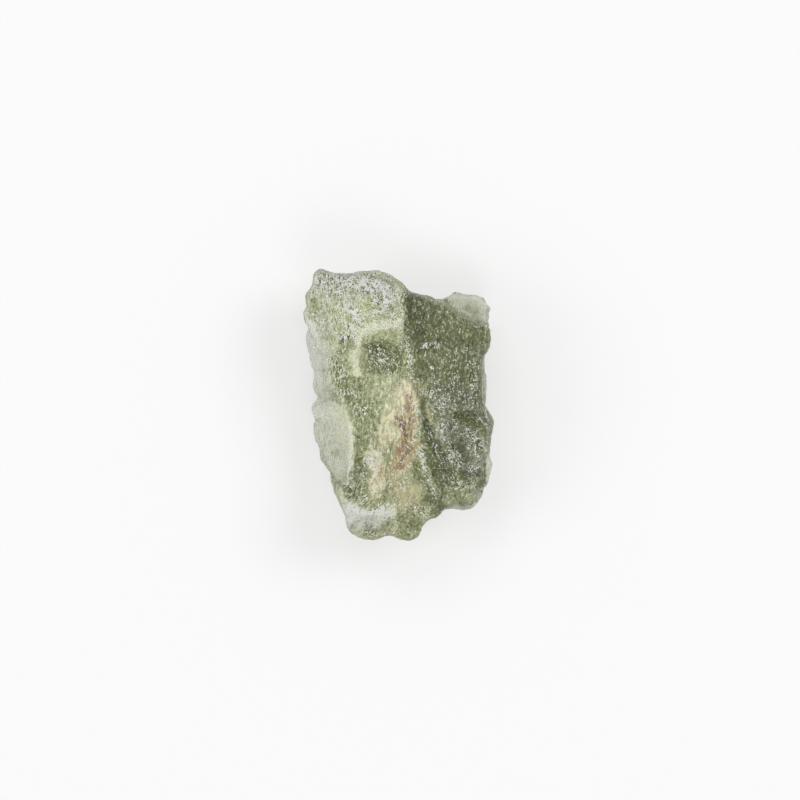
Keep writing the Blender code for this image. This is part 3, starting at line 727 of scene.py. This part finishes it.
def etching_tree(material):
    """A Geometry Nodes tree that etches the surface with scallops, cups, strokes and grain."""
    tree = bpy.data.node_groups.new("Etch the glass", "GeometryNodeTree")
    named_input(tree, "Geometry", "NodeSocketGeometry")
    for name, value in RELIEF.items():
        named_input(tree, name, "NodeSocketFloat", value)
    named_input(tree, "Material", "NodeSocketMaterial", material)
    tree.interface.new_socket("Geometry", in_out="OUTPUT", socket_type="NodeSocketGeometry")
    t = Tree(tree)
    given = t.add("NodeGroupInput").outputs
    place = t.add("GeometryNodeInputPosition").outputs["Position"]
    start = t.vector("ADD", place, t.vector("SCALE", SEED_STEP, given["Seed"]))

    def attribute(name, kind="FLOAT"):
        node = t.add("GeometryNodeInputNamedAttribute", {"data_type": kind}, Name=name)
        return node.outputs["Attribute"]

    def per_mm(name):
        return t.math("DIVIDE", 1.0, given[name])

    warp = t.add("ShaderNodeTexNoise", Vector=start, Scale=WARP_SCALE, Detail=WARP_DETAIL).outputs["Color"]
    bend = t.vector("SUBTRACT", warp, (NOISE_MIDDLE,) * 3)
    warped = t.vector("ADD", start, t.vector("SCALE", bend, WARP_REACH))

    def cups(size, depth, softness):
        cells = t.add("ShaderNodeTexVoronoi", {"feature": "SMOOTH_F1"}, Vector=warped, Scale=per_mm(size),
                      Smoothness=softness, Randomness=1.0).outputs["Distance"]
        bowl = t.centred(t.math("POWER", cells, 2.0), CUP_MIDDLE)
        return t.math("MULTIPLY", bowl, given[depth])

    def swing(pattern, depth):
        return t.math("MULTIPLY", t.scaled(t.centred(pattern), FULL_SWING), given[depth])

    lengths = t.add("ShaderNodeCombineXYZ", X=given["Stroke width"], Y=given["Stroke length"],
                    Z=given["Stroke length"]).outputs["Vector"]

    def stroke(turned):
        along = t.vector("DIVIDE", turned, lengths)
        return t.add("ShaderNodeTexNoise", Vector=along, Scale=1.0, Detail=STROKE_DETAIL).outputs["Fac"]

    strokes = along_the_ways(t, warped, attribute("ways", "FLOAT_COLOR"), None, stroke)
    grain = t.add("ShaderNodeTexNoise", Vector=start, Scale=per_mm("Grain size"),
                  Detail=GRAIN_DETAIL).outputs["Fac"]

    rough = t.math("SUBTRACT", 1.0, attribute("smooth"))
    cup_rise = cups("Cup size", "Cup depth", CUP_SOFTNESS)
    fine = t.total(cup_rise, swing(strokes, "Stroke depth"), swing(grain, "Grain depth"))
    large = cups("Scallop size", "Scallop depth", SCALLOP_SOFTNESS)
    rise = t.total(t.math("MULTIPLY", large, t.kept(rough, SCALLOP_SHARES)), t.math("MULTIPLY", fine, rough))
    height = t.add("ShaderNodeSeparateXYZ", Vector=place).outputs["Z"]
    rise = t.math("MULTIPLY", rise, t.step(height, *RELIEF_HEIGHTS))
    normal = t.add("GeometryNodeInputNormal").outputs["Normal"]
    offset = t.vector("SCALE", normal, rise)
    etched = t.add("GeometryNodeSetPosition", Geometry=given["Geometry"], Offset=offset)
    real = t.add("GeometryNodeRealizeInstances", Geometry=etched.outputs["Geometry"])
    dressed = t.add("GeometryNodeSetMaterial", Geometry=real.outputs["Geometry"], Material=given["Material"])
    t.add("NodeGroupOutput", Geometry=dressed.outputs["Geometry"])
    return tree


def glass_material():
    """The stone's translucent glass: frosted by etching, with painted glow where it is thin, painted shade in
    its hollows, painted glints, and clay dried in its valley.
    """
    material = bpy.data.materials.new("etched moldavite glass")
    material.use_nodes = True
    material.node_tree.nodes.clear()
    t = Tree(material.node_tree)
    metres = t.add("ShaderNodeTexCoord").outputs["Object"]
    place = t.vector("SCALE", metres, 1.0 / MM)

    def mark(name):
        return t.add("ShaderNodeAttribute", {"attribute_name": name}).outputs["Fac"]

    def grain(scale, detail, vector=place):
        node = t.add("ShaderNodeTexNoise", Vector=vector, Scale=scale, Detail=detail,
                     Roughness=NOISE_ROUGHNESS)
        return node.outputs["Fac"]

    def ramp(share, stops):
        node = t.add("ShaderNodeValToRGB", Fac=share)
        for _ in stops[2:]:
            node.color_ramp.elements.new(0.5)
        for element, (position, colour) in zip(node.color_ramp.elements, stops):
            element.position = position
            element.color = colour
        return node.outputs["Color"]

    ways = t.add("ShaderNodeAttribute", {"attribute_name": "ways"}).outputs

    def streaks(rates):
        def streak(turned):
            return grain(1.0, FINE_DETAIL, t.vector("MULTIPLY", turned, rates))

        return along_the_ways(t, place, ways["Color"], ways["Alpha"], streak)

    # the patterns: fine marks, patches, mottle and the painted light on crests and shade in hollows, each
    # about nought
    specks = t.scaled(grain(SPECKS, FINE_DETAIL), SPECK_SHARE)
    both = t.total(specks, t.scaled(streaks(STREAKS), STREAK_SHARE))
    fine = t.centred(both, FINE_MIDDLE)
    patches = t.centred(grain(*PATCHES))
    mottle = t.centred(grain(*MOTTLE))
    crest_light_and_hollow_shade = t.total(t.scaled(mark("crest"), CREST_LIGHT), t.scaled(mark("ridge"), RIDGE_LIGHT))
    rough = t.math("SUBTRACT", 1.0, mark("smooth"))

    # frost, broken up in patches, and the painted white glints on its highest marks
    frost = t.math("MULTIPLY", mark("frost"), t.step(patches, *FROST_STEP))
    level = t.total(fine, t.scaled(frost, SPARKLE_FROST), t.scaled(crest_light_and_hollow_shade, SPARKLE_RELIEF))
    painted_glints = t.math("MULTIPLY", t.step(level, *SPARKLE_LIMITS), t.kept(rough, SPARKLE_SHARES))

    # the tone of the glass, with the painted light on crests and shade in hollows and the painted light
    # specks and dark gaps of the fine marks
    lit = t.math("MAXIMUM", fine, t.scaled(fine, DARK_SIDE))
    local = t.total(t.math("MULTIPLY", lit, t.step(frost, *ETCHED_STEP)), t.scaled(mottle, MOTTLE_TONE))
    local = t.math("MULTIPLY", local, t.kept(rough, FINE_SHARES))
    broad = t.total(t.scaled(patches, PATCH_TONE), crest_light_and_hollow_shade)
    tone = t.total(mark("tone"), broad, local)
    # the etched skin's grey, partly painted sheen
    colour = t.mix(mark("grey"), ramp(tone, TONES), ramp(tone, GREY_TONES))

    # clay and rust, drawn out by water, and the painted glints over all
    flow = t.centred(streaks(CLAY_STREAKS))
    silt = t.total(flow, t.scaled(mottle, SILT_MOTTLE), t.scaled(fine, SILT_FINE))
    clay = t.math("MULTIPLY", mark("clay"), t.step(silt, *CLAY_STEP))
    colour = t.mix(clay, colour, t.mix(t.step(silt, *SILT_LIMITS), DARK_CLAY, CLAY))
    stain = t.math("MULTIPLY", mark("rust"), t.step(silt, *RUST_STEP))
    colour = t.mix(t.step(stain, *RUST_LIMITS), colour, ramp(stain, RUSTS))
    colour = t.mix(painted_glints, colour, GLINT_WHITE)

    gloss = t.scaled(mark("smooth"), SMOOTH_GLOSS)
    roughness = t.math("SUBTRACT", t.step(fine, *ROUGHNESS_STEP), gloss)
    bump = t.add("ShaderNodeBump", Height=fine, Strength=1.0, Distance=BUMP_HEIGHT)
    shader = t.add("ShaderNodeBsdfPrincipled", Base_Color=colour, Roughness=roughness, IOR=GLASS_IOR,
                   Normal=bump.outputs["Normal"], Transmission_Weight=CLARITY)
    inside = t.add("ShaderNodeVolumeAbsorption", Color=INSIDE, Density=INSIDE_DENSITY)
    t.add("ShaderNodeOutputMaterial", Surface=shader.outputs["BSDF"], Volume=inside.outputs["Volume"])
    return material


def make_stone():
    """The stone's CAD form on a fine grid, marked, etched and dressed in glass."""
    piece = bpy.data.objects.new("moldavite_stone", joined_form(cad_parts[STONE_NODE].data))
    bpy.context.scene.collection.objects.link(piece)
    remesh = piece.modifiers.new("Even grid", "REMESH")
    remesh.mode = "VOXEL"
    remesh.voxel_size = GRID
    soften = piece.modifiers.new("Soften", "SMOOTH")
    soften.factor = SOFTEN_SHARE
    soften.iterations = SOFTENING
    settle(piece)
    ease_outline(piece.data)
    x, y = wandered(piece.data)
    paint_marks(piece.data, x, y)
    paint_ways(piece.data, x, y)
    etch = piece.modifiers.new("Etch", "NODES")
    etch.node_group = etching_tree(glass_material())
    for item in etch.node_group.interface.items_tree:
        if item.name in RELIEF:
            etch[item.identifier] = RELIEF[item.name]
    settle(piece)
    mark_crests(piece.data)
    piece.data.transform(Matrix.Scale(MM, 4))
    piece.data.shade_smooth()
    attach(piece, "root")
    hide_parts(STONE_NODE)


def make_floor():
    """A plain pale floor with a faint glow."""
    bpy.ops.mesh.primitive_plane_add(size=FLOOR_SIDE)
    plane = bpy.context.object
    plane.name = "floor"
    material = bpy.data.materials.new("pale paper")
    material.use_nodes = True
    shader = material.node_tree.nodes["Principled BSDF"]
    shader.inputs["Base Color"].default_value = FLOOR
    shader.inputs["Roughness"].default_value = FLOOR_ROUGHNESS
    shader.inputs["Specular IOR Level"].default_value = FLOOR_SHEEN
    shader.inputs["Emission Color"].default_value = WHITE
    shader.inputs["Emission Strength"].default_value = FLOOR_GLOW
    plane.data.materials.append(material)


def make_camera():
    """The camera, straight above the stone, framed as the photograph is."""
    data = bpy.data.cameras.new("camera")
    data.lens = SENSOR * (CAMERA_HEIGHT - TOP_LEVEL) / (PICTURE_SIDE * MM_PER_PIXEL)
    data.sensor_width = SENSOR
    data.clip_start = CLIP_START
    eye = bpy.data.objects.new("camera", data)
    (x, y), = picture_to_stone([(PICTURE_SIDE / 2, PICTURE_SIDE / 2)])
    eye.location = (x * MM, y * MM, CAMERA_HEIGHT * MM)
    bpy.context.scene.collection.objects.link(eye)
    bpy.context.scene.camera = eye


def softbox(name, place, side, watts):
    """A square soft light that faces the stone, placed in metres."""
    panel = bpy.data.lights.new(name, "AREA")
    panel.shape = "SQUARE"
    panel.size = side
    panel.energy = watts
    lamp = bpy.data.objects.new(name, panel)
    lamp.location = place
    lamp.rotation_euler = (-Vector(place)).to_track_quat("-Z", "Y").to_euler()
    bpy.context.scene.collection.objects.link(lamp)


def make_light():
    """Plain soft studio light: a white surround and the softboxes."""
    scene = bpy.context.scene
    world = bpy.data.worlds.new("studio")
    world.use_nodes = True
    surround = world.node_tree.nodes["Background"]
    surround.inputs["Color"].default_value = WHITE
    surround.inputs["Strength"].default_value = WORLD_STRENGTH
    scene.world = world
    for name, (place, side, watts) in SOFTBOXES.items():
        softbox(name, place, side, watts)
    scene.view_settings.view_transform = "Standard"


make_stone()
make_floor()
make_camera()
make_light()
